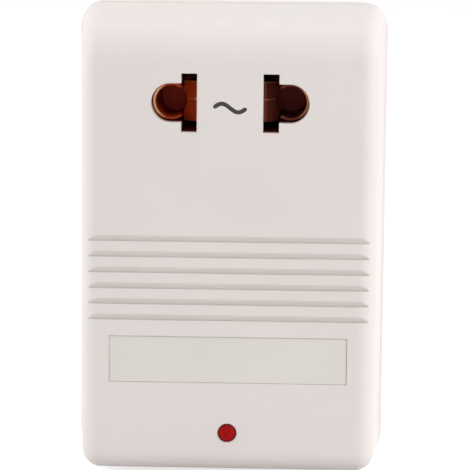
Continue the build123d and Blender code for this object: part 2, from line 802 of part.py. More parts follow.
def bridge_contacts():
    """Two strips under the knob that join neighbouring terminals."""
    strips = []
    for row in (-1, 1):
        strip = Pos(switch_y + row * terminal_row_offset, knob_z) * Rectangle(bridge_width, bridge_length)
        strips.append(extrude_x(strip, bridge_x, flange_x))
    return strips


# Pilot lamp and its board
lamp_tip_y = front_y - lamp_proud
lamp_back_y = board_front_y - lead_length
board_back_y = board_front_y + board_thickness


def led_lamp():
    """Lamp with a banded dome and a flange behind the face."""
    length = lamp_back_y - lamp_tip_y
    flange_front = lamp_back_y - front_inner_y - touch_gap
    flange_back = flange_front - lamp_flange_thickness
    dome_radii = [lamp_radius * share for share in lamp_dome_shares]
    rises = [(lamp_dome_radius**2 - radius**2) ** 0.5 for radius in dome_radii]
    dome = [(radius, length - rises[-1] + rise) for radius, rise in zip(dome_radii, rises)]
    outline = Polyline((0, length), (0, 0), (lamp_radius, 0), (lamp_radius, flange_back),
                       (lamp_flange_radius, flange_back), (lamp_flange_radius, flange_front),
                       (lamp_radius, flange_front), *dome, close=True)
    solid = revolve(Plane.XZ * make_face(outline), Axis.Z)
    return Pos(0, lamp_back_y, lamp_z) * Rot(90, 0, 0) * solid


def led_leads():
    """Two leads through the board."""
    lead = Pos(lead_pitch / 2, lamp_z) * Rectangle(lead_width, lead_width)
    return both_sides(extrude_y(lead, lamp_back_y, board_back_y))


def led_board():
    """Small board behind the lamp, with holes for leads and screws."""
    board = Pos(0, lamp_z) * Rectangle(board_width, board_height)
    for x in (-board_screw_x, board_screw_x):
        board -= Pos(x, lamp_z) * Circle(small_screw_radius + touch_gap)
    for x in (-lead_pitch / 2, lead_pitch / 2):
        board -= Pos(x, lamp_z) * Rectangle(lead_width + 2 * lead_gap, lead_width + 2 * lead_gap)
    return extrude_y(board, board_front_y, board_back_y)


def board_component(radius, length, x):
    """Round component that lies over the board, with a lead at each end bent down to it."""
    y = board_back_y + radius + touch_gap
    body = rod_x(radius, x - length / 2, x + length / 2, y, lamp_z)
    end = length / 2 + component_lead
    lead = Rectangle(lead_width, lead_width)
    body += extrude_x(Pos(y, lamp_z) * lead, x - end, x + end)
    for leg_x in (x - end + lead_width / 2, x + end - lead_width / 2):
        body += extrude_y(Pos(leg_x, lamp_z) * lead, board_back_y, y)
    return body


# Hook-up wires
def wire(points):
    """Insulated wire along straight runs, with each corner cut off at wire_bend or a share of the run."""
    corners = [Vector(*point) for point in points]
    path = [corners[0]]
    for before, corner, after in zip(corners, corners[1:], corners[2:]):
        for neighbour in (before, after):
            run = neighbour - corner
            path.append(corner + run.normalized() * min(wire_bend, run.length * wire_bend_share))
    line = Polyline(*path, corners[-1])
    start = Plane(origin=line @ 0, z_dir=line % 0)
    return sweep(start * RegularPolygon(wire_radius, wire_sides), path=line, transition=Transition.RIGHT)


def hookup_wires():
    """Wires from the contacts and blades to the switch and the coil, and from the coil to the lamp."""
    tag_x = round_x - solder_tag_inset
    tag_y = contact_base_y + solder_tag_length
    tag_z = socket_z - solder_tag_drop
    front_lane_y = switch_y - terminal_row_offset
    rear_lane_y = switch_y + terminal_row_offset
    blade_y = blade_plate_y - blade_tag_length
    low_z = socket_z - wire_drop - wire_lane
    terminal_x = switch_back_x - terminal_length
    low_terminal_z = switch_z - terminal_pitch
    routes = [
        [(-tag_x, tag_y, tag_z), (-tag_x, front_lane_y, tag_z), (-outer_pin_x, front_lane_y, low_z),
         (-outer_pin_x, pin_y, low_z), (-outer_pin_x, pin_y, pin_top_z)],
        [(-blade_x, blade_y, socket_z), (-blade_x, blade_y - wire_lane, socket_z),
         (-inner_pin_x, blade_y - wire_lane, low_z), (-inner_pin_x, pin_y, low_z),
         (-inner_pin_x, pin_y, pin_top_z)],
        [(blade_x, blade_y, socket_z), (blade_x, front_lane_y, socket_z),
         (terminal_x, front_lane_y, socket_z)],
        [(tag_x, tag_y, tag_z), (tag_x, front_lane_y, tag_z), (blade_x, front_lane_y, low_terminal_z),
         (terminal_x, front_lane_y, low_terminal_z)],
        [(terminal_x, rear_lane_y, switch_z), (outer_pin_x, rear_lane_y, switch_z),
         (outer_pin_x, rear_lane_y, low_z), (outer_pin_x, pin_y, low_z - wire_lane),
         (outer_pin_x, pin_y, pin_top_z)],
    ]
    for x in (-lamp_pin_x, lamp_pin_x):
        routes.append([(x, lamp_pin_y, lamp_pin_bottom_z), (x, lamp_pin_y, lamp_z),
                       (x, board_back_y, lamp_z)])
    return [wire(points) for points in routes]


def small_screws(places, seat_y, toward, length=small_screw_length):
    """Small hexagon-headed screws at places in X and Z."""
    head = RegularPolygon(small_head_radius, 6)
    return [screw(x, z, seat_y, toward, small_screw_radius, length, head, small_head_height)
            for x, z in places]


def housing_screws():
    """Four long screws with crossed drive slots in the rear shell's tubes."""
    slot = Rectangle(screw_head_radius, screw_recess_width)
    cross = slot + Rot(0, 0, 90) * slot
    top_y = head_y + screw_head_height
    return [screw(x, z, head_y, -1, screw_radius, screw_length, Circle(screw_head_radius), screw_head_height)
            - extrude_y(Pos(x, z) * cross, top_y - screw_recess_depth, top_y + overrun)
            for x, z in screw_places]


right_contact = socket_contact()
right_blade = plug_blade()
left_contact = mirror(right_contact, about=Plane.YZ)
left_blade = mirror(right_blade, about=Plane.YZ)
carrier_screw_places = [(x, socket_z) for x in (-ear_screw_x, ear_screw_x)]
blade_screw_places = [(0, socket_z + side * blade_screw_z_offset) for side in (-1, 1)]
board_screw_places = [(x, lamp_z) for x in (-board_screw_x, board_screw_x)]

nodes = {
    "front_shell": front_shell(),
    "rear_shell": rear_shell(),
    "housing_screws": housing_screws(),
    "label_panel": label_panel(),
    "socket_contact_left": left_contact,
    "socket_contact_right": right_contact,
    "contact_carrier": contact_carrier(),
    "contact_carrier_screws": small_screws(carrier_screw_places, ear_y + ear_thickness, -1),
    "plug_blade_left": left_blade,
    "plug_blade_right": right_blade,
    "blade_carrier": blade_carrier(),
    "blade_carrier_screws": small_screws(blade_screw_places, blade_plate_y, 1),
    "core_e_stack": core_e_stack(),
    "core_i_stack": core_i_stack(),
    "core_bracket": core_bracket(),
    "bracket_screws": small_screws(tab_places, core_back_y - bracket_sheet, 1),
    "bobbin": bobbin(),
    "bobbin_pins": bobbin_pins(),
    "primary_winding": winding(chambers[0]),
    "secondary_winding": winding(chambers[1]),
    "winding_tape": winding_tape(),
    "thermal_fuse": thermal_fuse(),
    "switch_body": switch_body(),
    "switch_frame": switch_frame(),
    "switch_terminals": switch_terminals(),
    "selector_knob": selector_knob(),
    "bridge_contacts": bridge_contacts(),
    "led_lamp": led_lamp(),
    "led_leads": led_leads(),
    "led_board": led_board(),
    "led_resistor": board_component(resistor_radius, resistor_length, -component_x),
    "led_diode": board_component(diode_radius, diode_length, component_x),
    "board_screws": small_screws(board_screw_places, board_back_y, -1, board_screw_length),
    "hookup_wires": hookup_wires(),
}

for name, shape in nodes.items():
    solids = shape if isinstance(shape, list) else [shape]
    export_step(Compound([solid for item in solids for solid in item.solids()]), f"parts/{name}.step")
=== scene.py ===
import math

import bmesh
import bpy
import numpy as np
from mathutils import Matrix, Vector


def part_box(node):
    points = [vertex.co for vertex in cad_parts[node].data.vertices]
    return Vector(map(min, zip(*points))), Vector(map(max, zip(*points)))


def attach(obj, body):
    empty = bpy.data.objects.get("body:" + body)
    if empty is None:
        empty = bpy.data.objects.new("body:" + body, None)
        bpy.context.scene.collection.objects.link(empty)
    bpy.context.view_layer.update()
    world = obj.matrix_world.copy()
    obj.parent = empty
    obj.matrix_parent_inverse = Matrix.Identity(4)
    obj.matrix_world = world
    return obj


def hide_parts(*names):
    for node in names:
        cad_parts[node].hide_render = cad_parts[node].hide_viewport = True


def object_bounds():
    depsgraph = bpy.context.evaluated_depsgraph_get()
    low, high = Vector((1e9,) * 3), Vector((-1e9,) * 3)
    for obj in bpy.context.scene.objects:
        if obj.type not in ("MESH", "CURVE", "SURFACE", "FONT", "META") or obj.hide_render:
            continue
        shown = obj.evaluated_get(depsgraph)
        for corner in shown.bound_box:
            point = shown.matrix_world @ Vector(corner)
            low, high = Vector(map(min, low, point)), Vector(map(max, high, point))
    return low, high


# A compact mains voltage converter in off-white moulded plastic: combined socket openings above,
# finger grooves across the middle, a blank label, a red pilot lamp and two flat blades behind.

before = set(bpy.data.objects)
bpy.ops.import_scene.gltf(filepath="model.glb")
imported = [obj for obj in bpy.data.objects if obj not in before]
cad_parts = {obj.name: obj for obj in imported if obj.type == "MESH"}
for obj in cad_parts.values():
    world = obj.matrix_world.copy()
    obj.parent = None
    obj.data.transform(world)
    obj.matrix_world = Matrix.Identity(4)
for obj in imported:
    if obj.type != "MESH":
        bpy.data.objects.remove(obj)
cad_low, cad_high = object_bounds()

MM = 0.001
millimetres_per_metre = 1000.0
scene = bpy.context.scene


# Small tools

def linear(code):
    """sRGB hex colour as linear red, green, blue and an alpha of 1."""
    values = np.array([int(code[i:i + 2], 16) for i in (1, 3, 5)]) / 255
    low = values / 12.92
    high = ((values + 0.055) / 1.055) ** 2.4
    return (*np.where(values <= 0.04045, low, high).tolist(), 1.0)


def add(tree, kind, inputs=None, **properties):
    """Adds a shader node, sets its properties, and sets or links its inputs."""
    node = tree.nodes.new("ShaderNode" + kind)
    for name, value in properties.items():
        setattr(node, name, value)
    for key, value in (inputs or {}).items():
        if isinstance(value, bpy.types.NodeSocket):
            tree.links.new(value, node.inputs[key])
        else:
            node.inputs[key].default_value = value
    return node


def begin(name):
    """New material with an empty tree, and its place on the piece in millimetres."""
    material = bpy.data.materials.new(name)
    material.use_nodes = True
    tree = material.node_tree
    tree.nodes.clear()
    place = add(tree, "TexCoord").outputs["Object"]
    scale = (millimetres_per_metre,) * 3
    return tree, add(tree, "Mapping", {"Vector": place, "Scale": scale}).outputs["Vector"], material


def close(tree, material, inputs):
    """Ends a material in one Principled shader with these inputs."""
    shader = add(tree, "BsdfPrincipled", inputs)
    add(tree, "OutputMaterial", {"Surface": shader.outputs[0]})
    return material


def noise(tree, place, size, detail=2.0, stretch=(1, 1, 1)):
    """Cloudy pattern from 0 to 1 whose spots are about size millimetres across, before any stretch."""
    shape = add(tree, "Mapping", {"Vector": place, "Scale": stretch}).outputs["Vector"]
    return add(tree, "TexNoise", {"Vector": shape, "Scale": 1 / size, "Detail": detail}).outputs["Fac"]


def between(tree, factor, low, high, start=0.3, end=0.7):
    """Number that goes from low to high as the factor goes from start to end."""
    return add(tree, "MapRange", {"Value": factor, "From Min": start, "From Max": end,
                                  "To Min": low, "To Max": high}).outputs["Result"]


def colours_along(tree, factor, stops):
    """Colour read from hex stops, given as pairs of place from 0 to 1 and colour."""
    ramp = add(tree, "ValToRGB", {"Fac": factor})
    elements = ramp.color_ramp.elements
    for index, (position, code) in enumerate(stops):
        element = elements[index] if index < len(elements) else elements.new(position)
        element.position = position
        element.color = linear(code)
    return ramp.outputs["Color"]


def blend_colours(tree, factor, first, second, start=0.3, end=0.7):
    """Colour that goes from the first hex colour to the second as the factor goes from start to end."""
    return colours_along(tree, factor, [(start, first), (end, second)])


def bumped(tree, height, millimetres, edge=0.0):
    """Normal raised by a height pattern, over edges rounded to a radius in millimetres."""
    inputs = {"Height": height, "Distance": millimetres * MM, "Strength": 1.0}
    if edge > 0:
        inputs["Normal"] = add(tree, "Bevel", {"Radius": edge * MM}, samples=6).outputs["Normal"]
    return add(tree, "Bump", inputs).outputs["Normal"]


# Materials

# Places in millimetres on the bronze contacts: their mouth, the depth by which their colour has shifted
# from the mouth's, the leaves' rib and top edge, half the height of a painted highlight line, and how far
# back a leaf carries painted highlights
mouth_y = -16.6
deep_colour_y = -8.0
rib_z = 60.28
leaf_top_z = 63.0
half_line = 0.15
leaf_highlight_full_y, leaf_highlight_end_y = -13.6, -13.4

# A sleeve begins outside its leaf, and only the outer part of its rim carries a painted highlight
sleeve_start_x, sleeve_full_x = 7.7, 7.9
rim_highlight_start_x, rim_highlight_full_x = 10.2, 11.6
rim_highlight_full_y, rim_highlight_end_y = -16.2, -15.7

# The pilot lamp's axis, and the reaches from it over which painted shade darkens the epoxy towards its rim
lamp_axis_z = 7.3
lens_shade_start_reach, lens_shade_full_reach = 1.1, 1.42

# Thickness of a lamination, the pitch at which the turns of wire are drawn, and that of the cloth's weave
sheet_thickness = 0.5
turn_pitch = 0.35
weave_pitch = 0.6


def moulded_abs():
    """ABS from a finely spark-eroded mould: off-white, satin, with rounded edges and a faint grain.

    Its reflection is weaker than that of real ABS, so that the top isn't pure white from behind.
    """
    tree, place, material = begin("moulded_abs_off_white")
    cloud = noise(tree, place, 18.0)
    colour = blend_colours(tree, cloud, "#EBE4E0", "#EEE6E3")
    # The mould's grain is about 0.05 mm, drawn 0.35 mm across so that it shows
    grain = noise(tree, place, 0.35, detail=3.0)
    normal = bumped(tree, grain, 0.006, edge=0.22)
    return close(tree, material, {"Base Color": colour, "Roughness": between(tree, cloud, 0.42, 0.5),
                                  "IOR": 1.54, "Specular IOR Level": 0.15, "Normal": normal})


def label_film():
    """Blank polyester label: flat, matt and a little greyer than the housing."""
    tree, place, material = begin("matt_polyester_film")
    cloud = noise(tree, place, 9.0)
    colour = blend_colours(tree, cloud, "#E6E0DA", "#E9E3DD")
    normal = bumped(tree, noise(tree, place, 0.5), 0.003)
    return close(tree, material, {"Base Color": colour, "Roughness": between(tree, cloud, 0.5, 0.6),
                                  "IOR": 1.5, "Normal": normal})


def moulded_phenolic(name, dark, light):
    """Compression-moulded phenolic: glossy, and mottled by its wood-flour filler."""
    tree, place, material = begin(name)
    filler = noise(tree, place, 0.7, detail=4.0)
    colour = blend_colours(tree, filler, dark, light)
    normal = bumped(tree, noise(tree, place, 0.4), 0.005, edge=0.12)
    return close(tree, material, {"Base Color": colour, "Roughness": between(tree, filler, 0.3, 0.42),
                                  "IOR": 1.6, "Normal": normal})


def stamped_bronze():
    """Phosphor bronze strip, rolled and stamped, in a mottled deep red brown that is partly tarnish and
    partly painted shade of the deep sockets, and that shifts with depth. The sleeves' outer rims and the
    leaves' ribs and top edges carry painted highlights, and the right-hand contact is darker than the
    left-hand one: painted shade."""
    tree, place, material = begin("stamped_phosphor_bronze")
    tarnish = noise(tree, place, 1.6, detail=4.0)
    axes = add(tree, "SeparateXYZ", {"Vector": place})
    mottled = add(tree, "Math", {0: between(tree, tarnish, -0.4, 0.4), 1: axes.outputs["Y"]},
                  operation="ADD").outputs[0]
    # Colour shifts with depth, from the mouth inwards
    inward = between(tree, mottled, 0.0, 1.0, mouth_y, deep_colour_y)
    # The left-hand contact is painted lighter and the right-hand one darker: painted light and shade
    left = colours_along(tree, inward, [(0.0, "#B04820"), (0.12, "#D8541C"), (0.45, "#CE4A1C"),
                                        (1.0, "#B8321A")])
    right = colours_along(tree, inward, [(0.0, "#784030"), (0.12, "#743628"), (0.45, "#703628"),
                                         (1.0, "#883022")])
    side = between(tree, axes.outputs["X"], 0.0, 1.0, -1.0, 1.0)
    side_shaded = add(tree, "Mix", {"Factor": side, 6: left, 7: right}, data_type="RGBA").outputs[2]
    outward = add(tree, "Math", {0: axes.outputs["X"]}, operation="ABSOLUTE").outputs[0]
    sleeve = between(tree, outward, 0.0, 1.0, sleeve_start_x, sleeve_full_x)
    # Painted highlight on the outer part of each sleeve's front rim, which is also made more metallic and
    # smoother
    rim_highlight = add(tree, "Math", {0: between(tree, axes.outputs["Y"], 1.0, 0.0, rim_highlight_full_y, rim_highlight_end_y),
                             1: between(tree, outward, 0.0, 1.0, rim_highlight_start_x, rim_highlight_full_x)},
              operation="MULTIPLY").outputs[0]
    # Painted highlight lines along each leaf's rib and top edge
    rib, edge = (add(tree, "Math", {0: axes.outputs["Z"], 1: height, 2: half_line},
                     operation="COMPARE").outputs[0]
                 for height in (rib_z, leaf_top_z))
    lines = add(tree, "Math", {0: rib, 1: edge}, operation="MAXIMUM").outputs[0]
    near = between(tree, axes.outputs["Y"], 1.0, 0.0, leaf_highlight_full_y, leaf_highlight_end_y)
    leaf = add(tree, "Math", {0: near, 1: sleeve}, operation="SUBTRACT", use_clamp=True).outputs[0]
    line_highlight = add(tree, "Math", {0: lines, 1: leaf}, operation="MULTIPLY").outputs[0]
    # Painted highlight colours, lighter on the left-hand contact
    line_highlight_colour = blend_colours(tree, side, "#D8743A", "#9A5A40")
    with_line_highlights = add(tree, "Mix", {"Factor": line_highlight, 6: side_shaded, 7: line_highlight_colour}, data_type="RGBA").outputs[2]
    rim_highlight_colour = blend_colours(tree, side, "#E0AC84", "#A4684A")
    colour = add(tree, "Mix", {"Factor": rim_highlight, 6: with_line_highlights, 7: rim_highlight_colour}, data_type="RGBA").outputs[2]
    rolled = noise(tree, place, 0.25, stretch=(1.0, 0.1, 1.0))
    return close(tree, material, {"Base Color": colour, "Metallic": between(tree, rim_highlight, 0.3, 1.0, 0.0, 1.0),
                                  "Roughness": between(tree, rim_highlight, 0.42, 0.28, 0.0, 1.0),
                                  "Specular IOR Level": 0.2,
                                  "Normal": bumped(tree, rolled, 0.004, edge=0.1)})


def drawn_metal(name, dark, light, low, high, along=(1.0, 0.06, 1.0)):
    """Bright plated metal with fine lines along the way that it was drawn or rolled."""
    tree, place, material = begin(name)
    lines = noise(tree, place, 0.22, detail=3.0, stretch=along)
    cloud = noise(tree, place, 3.5)
    colour = blend_colours(tree, cloud, dark, light)
    return close(tree, material, {"Base Color": colour, "Metallic": 1.0,
                                  "Roughness": between(tree, lines, low, high),
                                  "Normal": bumped(tree, lines, 0.003, edge=0.15)})


def laminated_steel():
    """Varnished silicon steel: thin sheets stacked along Y, whose edges show as fine dark lines."""
    tree, place, material = begin("varnished_silicon_steel")
    depth = add(tree, "SeparateXYZ", {"Vector": place}).outputs["Y"]
    sheet = add(tree, "Math", {0: depth, 1: sheet_thickness}, operation="DIVIDE").outputs[0]
    step = add(tree, "Math", {0: sheet}, operation="FRACT").outputs[0]
    seam = add(tree, "Math", {0: step, 1: 0.5}, operation="SUBTRACT").outputs[0]
    seam = add(tree, "Math", {0: seam}, operation="ABSOLUTE").outputs[0]
    varnish = noise(tree, place, 4.0, detail=4.0)
    steel = blend_colours(tree, varnish, "#5E6168", "#74767A")
    colour = add(tree, "Mix", {"Factor": between(tree, seam, 0.0, 0.75, 0.34, 0.5), 6: steel,
                               7: linear("#2A241E")}, data_type="RGBA").outputs[2]
    return close(tree, material, {"Base Color": colour, "Metallic": 0.85,
                                  "Roughness": between(tree, varnish, 0.35, 0.55),
                                  "Normal": bumped(tree, seam, -0.05)})


def moulded_nylon(name, dark, light, low, high):
    """Injection-moulded nylon: smooth and waxy, with soft edges."""
    tree, place, material = begin(name)
    cloud = noise(tree, place, 3.0)
    normal = bumped(tree, noise(tree, place, 0.4), 0.004, edge=0.18)
    return close(tree, material, {"Base Color": blend_colours(tree, cloud, dark, light),
                                  "Roughness": between(tree, cloud, low, high), "IOR": 1.53,
                                  "Subsurface Weight": 0.08, "Subsurface Radius": (MM, MM, MM),
                                  "Normal": normal})


def enamelled_wire():
    """Layers of enamelled copper wire: turns lie one above another, drawn far enough apart to show, with
    painted shade between them and a painted highlight along each.
    """
    tree, place, material = begin("enamelled_copper_wire")
    height = add(tree, "SeparateXYZ", {"Vector": place}).outputs["Z"]
    angle = add(tree, "Math", {0: height, 1: 2 * math.pi / turn_pitch}, operation="MULTIPLY").outputs[0]
    turn = add(tree, "Math", {0: angle}, operation="SINE").outputs[0]
    # Painted shade between the turns and a painted highlight along each turn
    painted_turn_shading = blend_colours(tree, between(tree, turn, 0.0, 1.0, -1.0, 1.0), "#7A3418", "#B8612F", 0.1, 0.6)
    return close(tree, material, {"Base Color": painted_turn_shading, "Metallic": 0.7, "Roughness": 0.28,
                                  "Coat Weight": 0.6, "Coat Roughness": 0.15,
                                  "Normal": bumped(tree, turn, 0.08)})


def polyester_tape():
    """Yellow polyester tape wound tight: glossy, with soft wrinkles along the wrap."""
    tree, place, material = begin("yellow_polyester_tape")
    wrinkle = noise(tree, place, 1.4, detail=3.0, stretch=(0.25, 0.25, 1.0))
    colour = blend_colours(tree, wrinkle, "#C99A1E", "#E2BC3C")
    return close(tree, material, {"Base Color": colour, "Roughness": between(tree, wrinkle, 0.22, 0.34),
                                  "IOR": 1.57, "Normal": bumped(tree, wrinkle, 0.04)})


def red_epoxy():
    """Diffused red epoxy of a lamp that is off: deep red and cloudy, with painted shade darkening it
    towards its rim.
    """
    tree, place, material = begin("diffused_red_epoxy")
    cloud = noise(tree, place, 0.6, detail=3.0)
    body = blend_colours(tree, cloud, "#900A0C", "#BC0E0E")
    axis = (0.0, 0.0, lamp_axis_z)
    aside = add(tree, "VectorMath", {0: place, 1: axis}, operation="SUBTRACT").outputs[0]
    across = add(tree, "VectorMath", {0: aside, 1: (1.0, 0.0, 1.0)}, operation="MULTIPLY").outputs[0]
    reach = add(tree, "VectorMath", {0: across}, operation="LENGTH").outputs["Value"]
    # Painted shade: the epoxy darkens towards the lamp's rim
    dark = between(tree, reach, 0.0, 1.0, lens_shade_start_reach, lens_shade_full_reach)
    colour = add(tree, "Mix", {"Factor": dark, 6: body, 7: linear("#560810")}, data_type="RGBA").outputs[2]
    return close(tree, material, {"Base Color": colour, "Roughness": between(tree, cloud, 0.16, 0.24),
                                  "IOR": 1.55, "Specular IOR Level": 0.06, "Subsurface Weight": 0.15,
                                  "Subsurface Radius": (0.8 * MM, 0.1 * MM, 0.1 * MM),
                                  "Normal": bumped(tree, cloud, 0.004)})


def glass_epoxy():
    """Green solder mask over woven glass cloth, whose weave shows as a fine check."""
    tree, place, material = begin("glass_epoxy_laminate")
    check = add(tree, "TexChecker", {"Vector": place, "Color1": linear("#1F6B3A"),
                                     "Color2": linear("#236F3F"), "Scale": 1 / weave_pitch})
    normal = bumped(tree, noise(tree, place, 0.5), 0.01, edge=0.1)
    return close(tree, material, {"Base Color": check.outputs["Color"],
                                  "Roughness": between(tree, noise(tree, place, 2.0), 0.25, 0.35),
                                  "IOR": 1.52, "Normal": normal})


def banded_part(name, body, band, places, half_band, roughness):
    """Lacquered or moulded small part with colour bands round it at places along X, in millimetres."""
    tree, place, material = begin(name)
    along = add(tree, "SeparateXYZ", {"Vector": place}).outputs["X"]
    inside = None
    for centre in places:
        near = add(tree, "Math", {0: along, 1: centre, 2: half_band}, operation="COMPARE").outputs[0]
        both = {0: near, 1: inside if inside else 0.0}
        inside = add(tree, "Math", both, operation="MAXIMUM").outputs[0]
    cloud = noise(tree, place, 0.6)
    colour = add(tree, "Mix", {"Factor": inside, 6: linear(body), 7: linear(band)},
                 data_type="RGBA").outputs[2]
    return close(tree, material, {"Base Color": colour, "Roughness": between(tree, cloud, *roughness),
                                  "IOR": 1.5, "Normal": bumped(tree, cloud, 0.01, edge=0.15)})


def pvc_sleeve():
    """Soft PVC insulation: blue on the left-hand conductors and brown on the right-hand ones."""
    tree, place, material = begin("extruded_pvc_sleeve")
    side = add(tree, "SeparateXYZ", {"Vector": place}).outputs["X"]
    colour = blend_colours(tree, between(tree, side, 0.0, 1.0, -0.1, 0.1), "#27408C", "#5E3A22")
    cloud = noise(tree, place, 0.8)
    return close(tree, material, {"Base Color": colour, "Roughness": between(tree, cloud, 0.38, 0.5),
                                  "IOR": 1.53, "Normal": bumped(tree, cloud, 0.01)})


def pad_print():
    """Dark grey pad-printed ink: thin, matt and slightly uneven."""
    tree, place, material = begin("pad_printed_ink")
    cloud = noise(tree, place, 0.5)
    return close(tree, material, {"Base Color": blend_colours(tree, cloud, "#262422", "#302E2C"),
                                  "Roughness": between(tree, cloud, 0.5, 0.65), "IOR": 1.5,
                                  "Normal": bumped(tree, cloud, 0.003)})


abs_plastic = moulded_abs()
bronze = stamped_bronze()
brown_phenolic = moulded_phenolic("moulded_phenolic_brown", "#9C4A2C", "#AA5636")
black_phenolic = moulded_phenolic("moulded_phenolic_black", "#121214", "#1B1B1E")
nickel = drawn_metal("nickel_plated_brass", "#A29E94", "#B0ACA2", 0.24, 0.34)
tinned = drawn_metal("tinned_brass", "#B9B8B4", "#CCCBC8", 0.3, 0.42, along=(1.0, 1.0, 0.08))
zinc = drawn_metal("zinc_plated_steel", "#A9ACB2", "#BDBFC4", 0.28, 0.4, along=(1.0, 1.0, 1.0))
zinc_sheet = drawn_metal("zinc_plated_sheet", "#9DA0A4", "#B2B4B8", 0.32, 0.45, along=(0.08, 1.0, 1.0))
silicon_steel = laminated_steel()
copper_wire = enamelled_wire()

finishes = {
    "front_shell": abs_plastic, "rear_shell": abs_plastic, "label_panel": label_film(),
    "housing_screws": zinc, "contact_carrier_screws": zinc, "blade_carrier_screws": zinc,
    "bracket_screws": zinc, "board_screws": zinc,
    "socket_contact_left": bronze, "socket_contact_right": bronze, "bridge_contacts": bronze,
    "contact_carrier": brown_phenolic, "blade_carrier": brown_phenolic,
    "plug_blade_left": nickel, "plug_blade_right": nickel,
    "bobbin_pins": tinned, "switch_terminals": tinned, "led_leads": tinned,
    "core_e_stack": silicon_steel, "core_i_stack": silicon_steel,
    "core_bracket": zinc_sheet, "switch_frame": zinc_sheet,
    "thermal_fuse": drawn_metal("drawn_aluminium", "#B4B5B8", "#C6C7C9", 0.25, 0.4, along=(0.06, 1.0, 1.0)),
    "bobbin": moulded_nylon("moulded_nylon_natural", "#D8CDB2", "#E2D8C0", 0.4, 0.5),
    "primary_winding": copper_wire, "secondary_winding": copper_wire,
    "winding_tape": polyester_tape(),
    "switch_body": black_phenolic,
    "selector_knob": moulded_nylon("moulded_nylon_red", "#A3140F", "#B01B14", 0.32, 0.42),
    "led_lamp": red_epoxy(), "led_board": glass_epoxy(),
    "led_resistor": banded_part("lacquered_resistor", "#B99A6B", "#5A2A14", (-7.2, -6.5, -5.8), 0.2,
                                (0.3, 0.4)),
    "led_diode": banded_part("moulded_epoxy_diode", "#141416", "#B9B9BC", (7.2,), 0.25, (0.3, 0.4)),
    "hookup_wires": pvc_sleeve(),
}
for node, material in finishes.items():
    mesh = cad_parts[node].data
    mesh.materials.clear()
    mesh.materials.append(material)


# New pieces

def new_piece(name, mesh, material):
    """Object of a mesh that stands in its place already, riding on the housing."""
    mesh.materials.clear()
    mesh.materials.append(material)
    piece = bpy.data.objects.new(name, mesh)
    scene.collection.objects.link(piece)
    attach(piece, "housing")
    return piece


def skin(name, rings, sharp_degrees=35.0):
    """Closed mesh over rings of points in millimetres, an array of ring by point by coordinate.

    Each point joins the next one of its ring and the same one of the next ring in a quad, and each
    end ring closes with a fan of triangles to the mean of its points. The enclosed volume, a sixth of
    the sum of every triangle's triple product, tells which way the faces point.
    """
    count, around = rings.shape[:2]
    points = np.vstack([rings.reshape(-1, 3), rings[0].mean(axis=0), rings[-1].mean(axis=0)])
    index = np.arange(count * around).reshape(count, around)
    beside = np.roll(index, -1, axis=1)
    quads = np.stack([index[:-1], beside[:-1], beside[1:], index[1:]], axis=-1).reshape(-1, 4)
    first = np.stack([beside[0], index[0], np.full(around, count * around)], axis=-1)
    last = np.stack([index[-1], beside[-1], np.full(around, count * around + 1)], axis=-1)
    triangles = np.vstack([quads[:, [0, 1, 2]], quads[:, [0, 2, 3]], first, last])
    a, b, c = (points[triangles[:, corner]] for corner in range(3))
    inside_out = np.einsum("ij,ij->i", a, np.cross(b, c)).sum() < 0
    faces = [*quads.tolist(), *first.tolist(), *last.tolist()]
    faces = [face[::-1] if inside_out else face for face in faces]
    mesh = bpy.data.meshes.new(name)
    mesh.from_pydata((points * MM).tolist(), [], faces)
    mesh.polygons.foreach_set("use_smooth", np.ones(len(mesh.polygons), dtype=bool))
    mesh.set_sharp_from_angle(angle=math.radians(sharp_degrees))
    return mesh


def pilot_lamp():
    """Red lamp turned about Y: a spherical crown with a rounded shoulder, a straight body and a flange.

    The crown's height falls as the radius of the sphere less the root of its square less the distance
    from the axis squared. The shoulder is a quarter turn of a small arc.
    """
    low, high = (np.array(corner) * millimetres_per_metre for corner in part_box("led_lamp"))
    tip_y, back_y, flange_radius = low[1], high[1], (high[0] - low[0]) / 2
    axis_z = (low[2] + high[2]) / 2
    body_radius, crown_radius, shoulder, tip_reach = 1.45, 2.6, 0.16, 0.02
    flange_front_y, flange_back_y = -18.9, -17.9
    reach = np.linspace(tip_reach, body_radius - shoulder, 24)
    crown = np.stack([reach, tip_y + crown_radius - np.sqrt(crown_radius**2 - reach**2)], axis=-1)
    angle = np.linspace(0.0, math.pi / 2, 9)[1:]
    arc = np.stack([body_radius - shoulder + shoulder * np.sin(angle),
                    crown[-1, 1] + shoulder * (1 - np.cos(angle))], axis=-1)
    rest = [(body_radius, flange_front_y), (flange_radius, flange_front_y), (flange_radius, flange_back_y),
            (body_radius, flange_back_y), (body_radius, back_y)]
    radius, along = np.vstack([crown, arc, rest]).T[:, :, None]
    turn = np.linspace(0, 2 * math.pi, 64, endpoint=False)
    rings = np.stack([radius * np.cos(turn), along + 0 * turn, axis_z + radius * np.sin(turn)], axis=-1)
    lamp = new_piece("pilot_lamp", skin("pilot_lamp", rings), finishes["led_lamp"])
    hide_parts("led_lamp")


